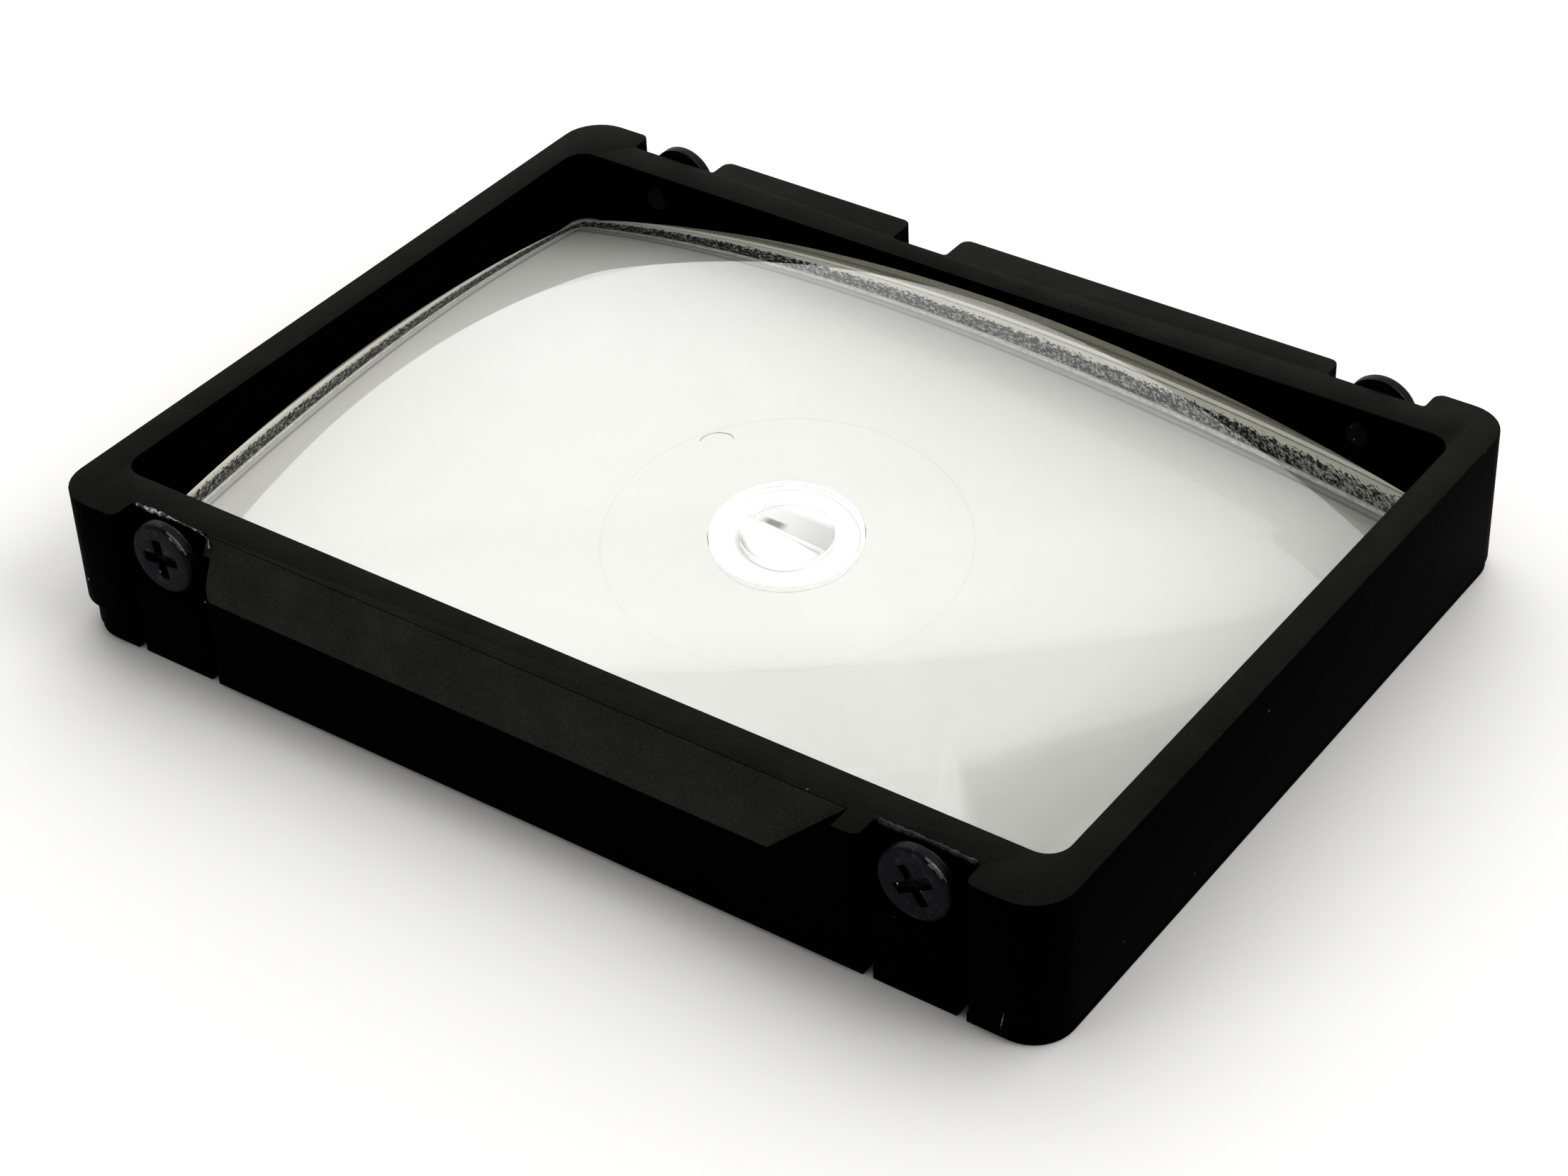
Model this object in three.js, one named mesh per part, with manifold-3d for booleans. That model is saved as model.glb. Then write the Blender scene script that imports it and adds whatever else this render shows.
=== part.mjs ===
// Interchangeable focusing screen of a single-lens reflex camera.
//
// A black metal frame holds a plano-convex condenser lens. Under the lens lie a spacer and a
// matte screen plate with a central split-image spot and a microprism collar. A retaining plate
// closes the bottom: four ears on its long sides bend up into recesses of the frame, and a screw
// holds each ear.
//
// Units are millimetres. +X runs along the long side, +Y to the back and +Z up to the lens.
// The origin is the centre of the bottom face.

import * as THREE from 'three';
import { ConvexGeometry } from 'three/addons/geometries/ConvexGeometry.js';
import { mergeVertices } from 'three/addons/utils/BufferGeometryUtils.js';
import Module from 'manifold-3d';

const wasm = await Module();
wasm.setup();

// Frame
const LENGTH = 39.0;
const DEPTH = 29.4;
const RIM_Z = 5.5;
const CORNER_R = 1.5;
const OPENING_LENGTH = 36.7;
const OPENING_DEPTH = 24.9;
const OPENING_R = 0.8;
const POCKET_LENGTH = 37.6;
const POCKET_DEPTH = 25.6;
const POCKET_TOP_Z = 2.7;
const STEP_Z = 1.2;
const STEP_INSET = 0.4;

// Recesses for the ears, one near each end of both long sides
const EAR_X = 14.78;
const RECESS_WIDTH = 3.66;
const RECESS_FLOOR_Y = 13.75;
const EDGE_R = 0.35;
const INNER_EDGE_R = 0.12;

// Key slot in the middle of the back side
const KEY_X = -3.45;
const KEY_WIDTH = 2.3;
const KEY_FLOOR_Y = 13.4;

// Bevel along the top of the front side, with a sloping run-out at its right end
const BEVEL_TOP_Y = 13.8;
const BEVEL_LOW_Z = 3.55;
const BEVEL_LOW_END_X = 9.7;
const BEVEL_TOP_END_X = 12.04;

// Small shoulder at the top of the front left recess, beside the screw head
const SHOULDER_WIDTH = 0.3;
const SHOULDER_LOW_Z = 4.85;

// Retaining plate
const PLATE_T = 0.35;
const PLATE_GAP = 0.02;
const PLATE_DEPTH = 29.16;
const PLATE_END_INSET = 0.05;
const PLATE_CORNER_R = 1.4;
const EAR_BRIDGE_LENGTH = 0.4;
const EAR_WIDTH = 2.96;
const EAR_INNER_Y = 13.8;
const EAR_OUTER_Y = 14.55;
const EAR_SEAT_Y = 14.1;
const EAR_SEAT_Z = 2.85;
const EAR_TOP_Z = 5.38;
const EAR_TOP_R = 1.2;
const EAR_HOLE_R = 0.66;

// Screws
const SCREW_Z = 4.38;
const HEAD_R = 1.29;
const HEAD_RIM = 0.1;
const HEAD_FACE_Y = 14.58;
const HEAD_GAP = 0.02;
const SHANK_R = 0.55;
const SHANK_CHAMFER = 0.15;
const SHANK_END_Y = 12.5;
const THREAD_HOLE_R = 0.6;
const CROSS_LENGTH = 1.45;
const CROSS_WIDTH = 0.36;
const CROSS_DEPTH = 0.32;
const CROSS_TURNS = { front_left: 8, front_right: 32, back_left: 20, back_right: -15 };

// Optical parts
const APERTURE_LENGTH = 35.9;
const APERTURE_DEPTH = 23.9;
const APERTURE_R = 0.5;
const INSERT_LENGTH = 37.3;
const INSERT_DEPTH = 25.3;
const INSERT_R = 0.65;
const SCREEN_LOW_Z = 0.4;
const SCREEN_RIM_Z = 1.0;
const FIELD_TOP_Z = 0.8;
const FIELD_LENGTH = 36.7;
const FIELD_DEPTH = 24.8;
const SPACER_LOW_Z = 1.05;
const SPACER_TOP_Z = 2.3;
const LENS_LOW_Z = 2.35;
const LENS_LENGTH = 36.4;
const LENS_DEPTH = 24.6;
const LENS_CORNER_R = 0.65;
const LENS_FLANGE_T = 0.28;
const DOME_R = 66;
const DOME_TOP_Z = 6.34;
const DOME_EDGE_R = 23;

// Focusing aids in the middle of the screen plate
const SPOT_D = 3.0;
const COLLAR_D = 5.0;
const AID_GAP = 0.04;
const WEDGE_THIN = 0.12;

// Steps in each corner arc and round each circle, and how far a cutter runs past what it cuts
const FINE = 8;
const ROUND = 40;
const DOME_RINGS = 15;
const OVERSHOOT = 1;
const MERGE_DISTANCE = 1e-5;

// ---------- solids ----------

// Makes a manifold solid of a closed three.js geometry.
function solid(geometry) {
  const bare = geometry.index ? geometry.toNonIndexed() : geometry.clone();
  bare.deleteAttribute('normal');
  bare.deleteAttribute('uv');
  const merged = mergeVertices(bare, MERGE_DISTANCE);
  return new wasm.Manifold(new wasm.Mesh({
    numProp: 3,
    vertProperties: new Float32Array(merged.attributes.position.array),
    triVerts: new Uint32Array(merged.index.array),
  }));
}

// Turns a manifold solid back into a geometry with flat-shaded faces.
function geometryOf(manifold) {
  const mesh = manifold.getMesh();
  const indexed = new THREE.BufferGeometry();
  indexed.setAttribute('position', new THREE.BufferAttribute(mesh.vertProperties, 3));
  indexed.setIndex(new THREE.BufferAttribute(mesh.triVerts, 1));
  const geometry = indexed.toNonIndexed();
  geometry.computeVertexNormals();
  return geometry;
}

// A closed outline through corner points [x, y, radius], with an arc at each corner.
function filletedOutline(corners, PathType = THREE.Shape) {
  const outline = new PathType();
  const points = [];
  corners.forEach(([x, y, radius], i) => {
    const corner = new THREE.Vector2(x, y);
    const before = corners[(i + corners.length - 1) % corners.length];
    const after = corners[(i + 1) % corners.length];
    const toBefore = new THREE.Vector2(before[0], before[1]).sub(corner).normalize();
    const toAfter = new THREE.Vector2(after[0], after[1]).sub(corner).normalize();
    const half = Math.acos(toBefore.dot(toAfter)) / 2;
    const start = corner.clone().addScaledVector(toBefore, radius / Math.tan(half));
    const end = corner.clone().addScaledVector(toAfter, radius / Math.tan(half));
    const inward = toBefore.clone().add(toAfter).normalize();
    const centre = corner.clone().addScaledVector(inward, radius / Math.sin(half));
    const from = start.clone().sub(centre).angle();
    let sweep = end.clone().sub(centre).angle() - from;
    if (sweep > Math.PI) sweep -= 2 * Math.PI;
    if (sweep < -Math.PI) sweep += 2 * Math.PI;
    const steps = radius > INNER_EDGE_R ? FINE : FINE / 4;
    for (let k = 0; k <= steps; k += 1) {
      const angle = from + (sweep * k) / steps;
      points.push(new THREE.Vector2(
        centre.x + radius * Math.cos(angle),
        centre.y + radius * Math.sin(angle),
      ));
    }
  });
  outline.setFromPoints(points);
  return outline;
}

function roundedRectangle(lowX, lowY, highX, highY, radius, PathType) {
  return filletedOutline([
    [lowX, lowY, radius],
    [highX, lowY, radius],
    [highX, highY, radius],
    [lowX, highY, radius],
  ], PathType);
}

function centredRectangle(length, depth, radius, PathType) {
  return roundedRectangle(-length / 2, -depth / 2, length / 2, depth / 2, radius, PathType);
}

// An upright prism of the outline between two heights.
function prism(outline, lowZ, highZ) {
  const geometry = new THREE.ExtrudeGeometry(outline, {
    depth: highZ - lowZ,
    bevelEnabled: false,
    curveSegments: ROUND,
  });
  return geometry.translate(0, 0, lowZ);
}

// A plain block between two corners.
function block(low, high) {
  const geometry = new THREE.BoxGeometry(high[0] - low[0], high[1] - low[1], high[2] - low[2]);
  return geometry.translate(
    (low[0] + high[0]) / 2,
    (low[1] + high[1]) / 2,
    (low[2] + high[2]) / 2,
  );
}

// A round hole's cutter through one long side, on a screw's axis.
function screwHole(radius, { x, side }) {
  const fromY = OPENING_DEPTH / 2 - OVERSHOOT;
  const toY = EAR_OUTER_Y + OVERSHOOT;
  const geometry = new THREE.CylinderGeometry(radius, radius, toY - fromY, ROUND / 2);
  return geometry.translate(x, (side * (fromY + toY)) / 2, SCREW_Z);
}

// A plain block on one long side, between two distances from the middle plane.
function sideBlock(x, width, side, nearY, farY, lowZ, highZ) {
  const lowY = side > 0 ? nearY : -farY;
  const highY = side > 0 ? farY : -nearY;
  return block([x - width / 2, lowY, lowZ], [x + width / 2, highY, highZ]);
}

// The four ear places: which side along Y and which end along X.
const STATIONS = [
  { name: 'front_left', x: -EAR_X, side: -1 },
  { name: 'front_right', x: EAR_X, side: -1 },
  { name: 'back_left', x: -EAR_X, side: 1 },
  { name: 'back_right', x: EAR_X, side: 1 },
];

// ---------- frame ----------

// One recess, as the four corners met going round the outline.
function recessCorners(x, side, width, floorY) {
  const outer = (side * DEPTH) / 2;
  const direction = -side;
  return [
    [x - (direction * width) / 2, outer, EDGE_R],
    [x - (direction * width) / 2, side * floorY, INNER_EDGE_R],
    [x + (direction * width) / 2, side * floorY, INNER_EDGE_R],
    [x + (direction * width) / 2, outer, EDGE_R],
  ];
}

// The frame's outer outline, anticlockwise from the front left corner.
function frameOutline(leftInset) {
  const left = -LENGTH / 2 + leftInset;
  const right = LENGTH / 2;
  const front = -DEPTH / 2;
  const back = DEPTH / 2;
  return filletedOutline([
    [left, front, CORNER_R],
    ...recessCorners(-EAR_X, -1, RECESS_WIDTH, RECESS_FLOOR_Y),
    ...recessCorners(EAR_X, -1, RECESS_WIDTH, RECESS_FLOOR_Y),
    [right, front, CORNER_R],
    [right, back, CORNER_R],
    ...recessCorners(EAR_X, 1, RECESS_WIDTH, RECESS_FLOOR_Y),
    ...recessCorners(KEY_X, 1, KEY_WIDTH, KEY_FLOOR_Y),
    ...recessCorners(-EAR_X, 1, RECESS_WIDTH, RECESS_FLOOR_Y),
    [left, back, CORNER_R],
  ]);
}

// The wedge of material that the front bevel removes.
function bevelCutter() {
  const fall = RIM_Z - BEVEL_LOW_Z;
  const rise = OVERSHOOT / fall;
  const left = -EAR_X + RECESS_WIDTH / 2 - EDGE_R - OVERSHOOT;
  const topY = -BEVEL_TOP_Y + (DEPTH / 2 - BEVEL_TOP_Y) * rise;
  const topEndX = BEVEL_TOP_END_X + (BEVEL_TOP_END_X - BEVEL_LOW_END_X) * rise;
  const outerY = -DEPTH / 2 - OVERSHOOT;
  const points = [];
  for (const y of [-DEPTH / 2, outerY]) {
    points.push(new THREE.Vector3(left, y, BEVEL_LOW_Z));
    points.push(new THREE.Vector3(BEVEL_LOW_END_X, y, BEVEL_LOW_Z));
  }
  for (const y of [topY, outerY]) {
    points.push(new THREE.Vector3(left, y, RIM_Z + OVERSHOOT));
    points.push(new THREE.Vector3(topEndX, y, RIM_Z + OVERSHOOT));
  }
  return new ConvexGeometry(points);
}

function frameBody() {
  const lowZ = PLATE_T + PLATE_GAP;
  let body = solid(prism(frameOutline(0), STEP_Z, RIM_Z));
  body = body.add(solid(prism(frameOutline(STEP_INSET), lowZ, STEP_Z + OVERSHOOT)));
  const opening = centredRectangle(OPENING_LENGTH, OPENING_DEPTH, OPENING_R);
  const pocket = centredRectangle(POCKET_LENGTH, POCKET_DEPTH, OPENING_R);
  const shoulderX = -EAR_X + RECESS_WIDTH / 2 - SHOULDER_WIDTH;
  const shoulder = block(
    [shoulderX, -DEPTH / 2, SHOULDER_LOW_Z],
    [shoulderX + 2 * SHOULDER_WIDTH, -RECESS_FLOOR_Y + SHOULDER_WIDTH, RIM_Z],
  );
  body = body.add(solid(shoulder));
  const cutters = [
    prism(opening, 0, RIM_Z + OVERSHOOT),
    prism(pocket, 0, POCKET_TOP_Z),
    bevelCutter(),
  ];
  for (const station of STATIONS) cutters.push(screwHole(THREAD_HOLE_R, station));
  for (const cutter of cutters) body = body.subtract(solid(cutter));
  return geometryOf(body);
}

// ---------- retaining plate ----------

// One ear: a thick foot flush with the frame, and a thinner seat above it for the screw head.
function ear(station) {
  const { x, side } = station;
  const half = EAR_WIDTH / 2;
  const face = new THREE.Shape();
  face.setFromPoints(filletedOutline([
    [-half, EAR_SEAT_Z - OVERSHOOT, INNER_EDGE_R / 2],
    [half, EAR_SEAT_Z - OVERSHOOT, INNER_EDGE_R / 2],
    [half, EAR_TOP_Z, EAR_TOP_R],
    [-half, EAR_TOP_Z, EAR_TOP_R],
  ]).getPoints());
  const seat = new THREE.ExtrudeGeometry(face, {
    depth: EAR_SEAT_Y - EAR_INNER_Y,
    bevelEnabled: false,
  });
  seat.rotateX(Math.PI / 2);
  seat.translate(x, side > 0 ? EAR_SEAT_Y : -EAR_INNER_Y, 0);
  const foot = sideBlock(x, EAR_WIDTH, side, EAR_INNER_Y, EAR_OUTER_Y, 0, EAR_SEAT_Z);
  return solid(foot)
    .add(solid(seat))
    .subtract(solid(screwHole(EAR_HOLE_R, station)));
}

function retainingPlate() {
  const left = -LENGTH / 2 + STEP_INSET + PLATE_GAP;
  const right = LENGTH / 2 - PLATE_END_INSET;
  const half = PLATE_DEPTH / 2;
  let plate = solid(prism(roundedRectangle(left, -half, right, half, PLATE_CORNER_R), 0, PLATE_T));
  const cutters = [
    prism(centredRectangle(APERTURE_LENGTH, APERTURE_DEPTH, APERTURE_R), -OVERSHOOT, OVERSHOOT),
    sideBlock(KEY_X, KEY_WIDTH, 1, KEY_FLOOR_Y, DEPTH, -OVERSHOOT, OVERSHOOT),
  ];
  for (const { x, side } of STATIONS) {
    cutters.push(sideBlock(x, RECESS_WIDTH, side, EAR_INNER_Y, DEPTH, -OVERSHOOT, OVERSHOOT));
  }
  for (const cutter of cutters) plate = plate.subtract(solid(cutter));
  for (const station of STATIONS) {
    const { x, side } = station;
    const nearY = EAR_INNER_Y - EAR_BRIDGE_LENGTH / 2;
    const farY = EAR_INNER_Y + EAR_BRIDGE_LENGTH / 2;
    const bridge = sideBlock(x, EAR_WIDTH, side, nearY, farY, 0, PLATE_T);
    plate = plate.add(solid(bridge)).add(ear(station));
  }
  return geometryOf(plate);
}

// ---------- screws ----------

// A small cross-recess screw lying along +Y with its head outwards, before it is placed.
function screw(turnDegrees) {
  const profile = [
    [0, SHANK_END_Y],
    [SHANK_R - SHANK_CHAMFER, SHANK_END_Y],
    [SHANK_R, SHANK_END_Y + SHANK_CHAMFER],
    [SHANK_R, EAR_SEAT_Y + HEAD_GAP],
    [HEAD_R, EAR_SEAT_Y + HEAD_GAP],
    [HEAD_R, HEAD_FACE_Y - HEAD_RIM],
    [HEAD_R - HEAD_RIM, HEAD_FACE_Y],
    [0, HEAD_FACE_Y],
  ].map(([radius, along]) => new THREE.Vector2(radius, along));
  let body = solid(new THREE.LatheGeometry(profile, ROUND));
  for (const quarter of [0, 90]) {
    const slot = new THREE.BoxGeometry(CROSS_LENGTH, 2 * CROSS_DEPTH, CROSS_WIDTH);
    slot.rotateY(THREE.MathUtils.degToRad(quarter + turnDegrees));
    slot.translate(0, HEAD_FACE_Y, 0);
    body = body.subtract(solid(slot));
  }
  return geometryOf(body);
}

// ---------- optical parts ----------

// The condenser: a spherical cap cut to the opening, with a thin flange under the frame's ledge.
function condenserLens() {
  const belowZ = LENS_LOW_Z - OVERSHOOT;
  const profile = [new THREE.Vector2(0, belowZ), new THREE.Vector2(DOME_EDGE_R, belowZ)];
  for (let ring = DOME_RINGS; ring > 0; ring -= 1) {
    const radius = (DOME_EDGE_R * ring) / DOME_RINGS;
    const height = DOME_TOP_Z - DOME_R + Math.sqrt(DOME_R ** 2 - radius ** 2);
    profile.push(new THREE.Vector2(radius, height));
  }
  profile.push(new THREE.Vector2(0, DOME_TOP_Z));
  const cap = new THREE.LatheGeometry(profile, 2 * ROUND).rotateX(Math.PI / 2);
  const column = prism(
    centredRectangle(LENS_LENGTH, LENS_DEPTH, LENS_CORNER_R),
    LENS_LOW_Z,
    DOME_TOP_Z + OVERSHOOT,
  );
  const flange = prism(
    centredRectangle(INSERT_LENGTH, INSERT_DEPTH, INSERT_R),
    LENS_LOW_Z,
    LENS_LOW_Z + LENS_FLANGE_T,
  );
  return geometryOf(solid(cap).intersect(solid(column)).add(solid(flange)));
}

function spacerFrame() {
  const outline = centredRectangle(INSERT_LENGTH, INSERT_DEPTH, INSERT_R);
  outline.holes.push(centredRectangle(FIELD_LENGTH, FIELD_DEPTH, APERTURE_R, THREE.Path));
  return prism(outline, SPACER_LOW_Z, SPACER_TOP_Z);
}

// A disc standing on Z between two heights.
function disc(radius, lowZ, highZ) {
  const geometry = new THREE.CylinderGeometry(radius, radius, highZ - lowZ, ROUND);
  return geometry.rotateX(Math.PI / 2).translate(0, 0, (lowZ + highZ) / 2);
}

// The matte screen: its field is sunk a little below the rim that carries the spacer, and a round
// hole in the middle takes the focusing aids.
function screenPlate() {
  const outline = centredRectangle(INSERT_LENGTH, INSERT_DEPTH, INSERT_R);
  const field = centredRectangle(FIELD_LENGTH, FIELD_DEPTH, APERTURE_R);
  const hole = disc(COLLAR_D / 2 + AID_GAP, SCREEN_LOW_Z - OVERSHOOT, FIELD_TOP_Z + OVERSHOOT);
  const plate = solid(prism(outline, SCREEN_LOW_Z, SCREEN_RIM_Z))
    .subtract(solid(prism(field, FIELD_TOP_Z, SCREEN_RIM_Z + OVERSHOOT)))
    .subtract(solid(hole));
  return geometryOf(plate);
}

function microprismCollar() {
  const ring = solid(disc(COLLAR_D / 2, SCREEN_LOW_Z, FIELD_TOP_Z));
  const hole = disc(SPOT_D / 2 + AID_GAP, SCREEN_LOW_Z - OVERSHOOT, FIELD_TOP_Z + OVERSHOOT);
  return geometryOf(ring.subtract(solid(hole)));
}

// One half of the split-image spot: a half disc whose lower face slopes up along X, towards the
// right on the back half and towards the left on the front half.
function splitWedge(side) {
  const radius = SPOT_D / 2;
  const halfDisc = solid(disc(radius, SCREEN_LOW_Z, FIELD_TOP_Z)).intersect(
    solid(sideBlock(0, SPOT_D, side, AID_GAP / 2, radius, SCREEN_LOW_Z, FIELD_TOP_Z)),
  );
  const rise = FIELD_TOP_Z - SCREEN_LOW_Z - WEDGE_THIN;
  const slope = new THREE.Shape();
  slope.moveTo(-side * radius, SCREEN_LOW_Z);
  slope.lineTo(side * radius, SCREEN_LOW_Z + rise);
  slope.lineTo(side * radius, SCREEN_LOW_Z - OVERSHOOT);
  slope.lineTo(-side * radius, SCREEN_LOW_Z - OVERSHOOT);
  const cutter = new THREE.ExtrudeGeometry(slope, { depth: SPOT_D, bevelEnabled: false });
  cutter.rotateX(Math.PI / 2).translate(0, radius, 0);
  return geometryOf(halfDisc.subtract(solid(cutter)));
}

// ---------- assembly ----------

const blackPaint = { color: 0x1b1c1b, roughness: 0.62, metalness: 0.3 };
const blackScrew = { color: 0x2b2c30, roughness: 0.45, metalness: 0.7 };
const clearGlass = {
  color: 0xe9ece6, roughness: 0.05, metalness: 0, transparent: true, opacity: 0.35,
};
const matteAcrylic = { color: 0xeae8e1, roughness: 0.7, metalness: 0 };
const prismAcrylic = { color: 0xf6f6f2, roughness: 0.12, metalness: 0 };

const assembly = new THREE.Group();

function addPart(name, geometry, finish) {
  const mesh = new THREE.Mesh(geometry, new THREE.MeshStandardMaterial(finish));
  mesh.name = name;
  assembly.add(mesh);
  return mesh;
}

addPart('frame_body', frameBody(), blackPaint);
addPart('retaining_plate', retainingPlate(), blackPaint);
addPart('spacer_frame', spacerFrame(), blackPaint);
addPart('condenser_lens', condenserLens(), clearGlass);
addPart('screen_plate', screenPlate(), matteAcrylic);
addPart('microprism_collar', microprismCollar(), prismAcrylic);
addPart('split_wedge_back', splitWedge(1), prismAcrylic);
addPart('split_wedge_front', splitWedge(-1), prismAcrylic);

for (const { name, x, side } of STATIONS) {
  const mesh = addPart(`screw_${name}`, screw(CROSS_TURNS[name]), blackScrew);
  mesh.rotation.z = side > 0 ? 0 : Math.PI;
  mesh.position.set(x, 0, SCREW_Z);
}

export default assembly;
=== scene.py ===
"""Looks for a camera focusing screen: black painted frame, domed condenser lens, matte screen."""

import math
import random

import bmesh
import bpy
from mathutils import Matrix, Vector


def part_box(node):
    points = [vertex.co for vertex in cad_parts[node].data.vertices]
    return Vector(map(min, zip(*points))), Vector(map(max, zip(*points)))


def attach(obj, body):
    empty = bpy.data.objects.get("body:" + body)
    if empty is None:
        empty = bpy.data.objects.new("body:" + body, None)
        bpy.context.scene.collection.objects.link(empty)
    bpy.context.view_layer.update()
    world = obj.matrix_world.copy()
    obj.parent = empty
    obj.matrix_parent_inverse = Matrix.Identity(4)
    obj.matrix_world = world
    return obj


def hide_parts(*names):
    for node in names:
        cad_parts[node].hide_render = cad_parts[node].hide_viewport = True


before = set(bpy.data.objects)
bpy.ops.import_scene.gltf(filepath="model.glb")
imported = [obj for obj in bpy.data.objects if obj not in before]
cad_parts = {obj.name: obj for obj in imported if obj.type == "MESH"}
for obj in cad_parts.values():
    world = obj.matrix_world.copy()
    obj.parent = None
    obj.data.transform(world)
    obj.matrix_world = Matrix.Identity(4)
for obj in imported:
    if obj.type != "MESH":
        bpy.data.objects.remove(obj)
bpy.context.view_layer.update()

MM = 0.001

# Camera, as the object is seen: degrees, millimetres
CAMERA_AZIMUTH = 36.79
CAMERA_ELEVATION = 36.81
CAMERA_ROLL = -2.64
CAMERA_DISTANCE = 120.14
CAMERA_TARGET = (-0.10, -0.16, 0.0)
CAMERA_LENS = 80.7

# Room light: its mean strength, and the direction that it comes from most, times the excess there
SKY_STRENGTH = 0.50
BRIGHT_SIDE = (-0.07, 0.36, 0.0)

# Floor, in metres: half its size, and how far it lies below the object
FLOOR_HALF = 3.0
FLOOR_DROP = 0.00002

# Edge rounding, in millimetres like every size below
FRAME_EDGE = 0.11
PLATE_EDGE = 0.05
SCREW_EDGE = 0.045
OPTIC_EDGE = 0.04
AID_EDGE = 0.015
EDGE_SEGMENTS = 3

# Angles in degrees: facets that meet more flatly are joined into one face, and faces that meet more
# sharply are rounded, or kept as a crisp edge in the shading
FLAT_ANGLE = 0.6
ROUNDED_ANGLE = 24
SCREW_ROUNDED_ANGLE = 30
CRISP_ANGLE = 40
LENS_CRISP_ANGLE = 20

# Condenser lens: dome's radius and top, body's half sizes, flange, chamfer, and the steps of its mesh
DOME_R = 66.0
DOME_TOP_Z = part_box("condenser_lens")[1].z / MM
LENS_HALF_X = 18.2
LENS_HALF_Y = 12.3
LENS_CORNER_R = 0.65
LENS_FLANGE_T = 0.28
LENS_CHAMFER = 0.07
LENS_CHAMFER_DROP = 1.4 * LENS_CHAMFER
DOME_SEGMENTS = 192
DOME_RINGS = 40

# Lens's ground side, by height: a darker line, and a pale foot below, painted as light gathered in the
# glass
GROUND_LINE_Z = 3.75
GROUND_LINE_WIDTH = 0.3
LIT_FOOT_TOP_Z = 3.20
LIT_FOOT_FULL_Z = 3.06

# Burrs along the top edges of the front recesses, pale partly as painted highlights; a painted highlight on
# the corner's edge; and flakes. A flake is a centre and a size
BURR_STEP = 0.1
BURR_SIDES = 6
LEFT_BURR_AND_HIGHLIGHT = [
    (-16.45, -13.74, 5.50),
    (-15.6, -13.74, 5.50),
    (-14.9, -13.74, 5.50),
    (-13.6, -13.76, 5.48),
    (-13.15, -13.84, 5.40),
    (-13.0, -14.0, 5.2),
]
RIGHT_BURR_AND_HIGHLIGHT = [(13.1, -13.74, 5.49), (14.9, -13.74, 5.49), (16.5, -13.75, 5.48)]
CORNER_EDGE_HIGHLIGHT = [(17.98, -14.685, 1.15), (17.94, -14.685, 0.85), (17.86, -14.685, 0.45)]
FLAKE_T = 0.012
FLAKES = [
    ((-2.94, -14.69, 3.3), 0.05),
    ((1.33, -14.69, 2.68), 0.06),
    ((-12.85, -14.69, 3.5), 0.05),
    ((-18.4, -14.69, 2.23), 0.045),
    ((-17.5, -14.69, 1.5), 0.03),
    ((9.3, -14.69, 1.9), 0.03),
    # These two are painted highlights on the screw's end in the inner back wall
    ((14.65, 12.447, 4.71), 0.07),
    ((14.75, 12.447, 4.25), 0.04),
    ((-14.88, -14.59, 3.88), 0.04),
    ((-15.26, -14.59, 4.63), 0.035),
    ((14.28, -14.59, 4.27), 0.05),
    ((15.11, -14.59, 4.37), 0.04),
]

# Fibre on the dome, whose ends lie along a line turned by this cosine and sine
LINT_X = -1.64
LINT_Y = -1.42
LINT_COS = 0.8
LINT_SIN = 0.6
LINT_HALF_LENGTH = 0.55
LINT_BULGE = 0.42
LINT_STEPS = 14

# Screw shanks are blacked as far out as this
SHANK_SHOWS_Y = 13.5

# The spacer is pale above this height, with a ragged border, and its painted glints grow towards the right
# end
PALE_TOP_Z = 1.92
PALE_BORDER = 0.06
PALE_RAGGEDNESS = 1.4
GLINT_END_START_X = 9.0
GLINT_END_FULL_X = 17.5

# Radii of the microprism collar and the grey arc on it, and where the arc fades in, towards the back
COLLAR_HALF = 2.5
COLLAR_ARC_R = 2.3
COLLAR_ARC_START_Y = 0.3
COLLAR_ARC_FULL_Y = 0.8

# Back wedge: greyer from one X to the other, and white from one Y to the other
WEDGE_GREY_START_X = -1.0
WEDGE_GREY_FULL_X = 1.2
WEDGE_WHITE_START_Y = 0.95
WEDGE_WHITE_FULL_Y = 1.3

# Front wedge: grey from one radius to the other, and from one Y to the other
RIM_START_R = 1.22
RIM_FULL_R = 1.42
RIM_START_Y = -0.55
RIM_FULL_Y = -1.0

# Dark sliver by the split line
SLIVER_X = -0.70
SLIVER_Y = 0.34
SLIVER_HALF_X = 0.5
SLIVER_HALF_Y = 0.16

# Half sizes of the sunk matte field, its faint ring, and the thin line of painted shade inside its border
FIELD_HALF_X = 18.35
FIELD_HALF_Y = 12.4
RING_R = 6.0
RING_LINE_WIDTH = 0.06
SHADE_LINE_INSET = 0.12
SHADE_LINE_WIDTH = 0.10

# A face counts as inside the field, or beside the spot, within these margins
FIELD_MARGIN = 0.1
SPOT_MARGIN = 0.2

# Painted shade: the field darkens along this direction, between these distances
SHADE_FADE_DIRECTION = (1.0, -1.1)
SHADE_FADE_START = -26.0
SHADE_FADE_END = 28.0

# Refractive index of the lens and the acrylic
CLEAR_INDEX = 1.49

# Material numbers on the painted frame, the lens, the screen and the screws
PAINT_SIDE, PAINT_LIT_TOP, PAINT_LIT_BEVEL, PAINT_EDGE = range(4)
LENS_DOME, LENS_SIDE, LENS_FLANGE, LENS_BASE = range(4)
SCREEN_CLEAR, SCREEN_MATTE, SCREEN_STEP = range(3)
SCREW_STEEL, SCREW_RIM_HIGHLIGHT, SCREW_BLACKED = range(3)


# ---------- placing and meshes ----------


def mm(*values):
    return Vector(values) * MM


def link(obj):
    bpy.context.scene.collection.objects.link(obj)
    return obj


def finish_piece(obj, slot, *nodes):
    """The piece rides on the one body and may stand for nodes. Its slot is not used."""
    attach(obj, "root")
    if nodes:
        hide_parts(*nodes)
    return obj


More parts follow.
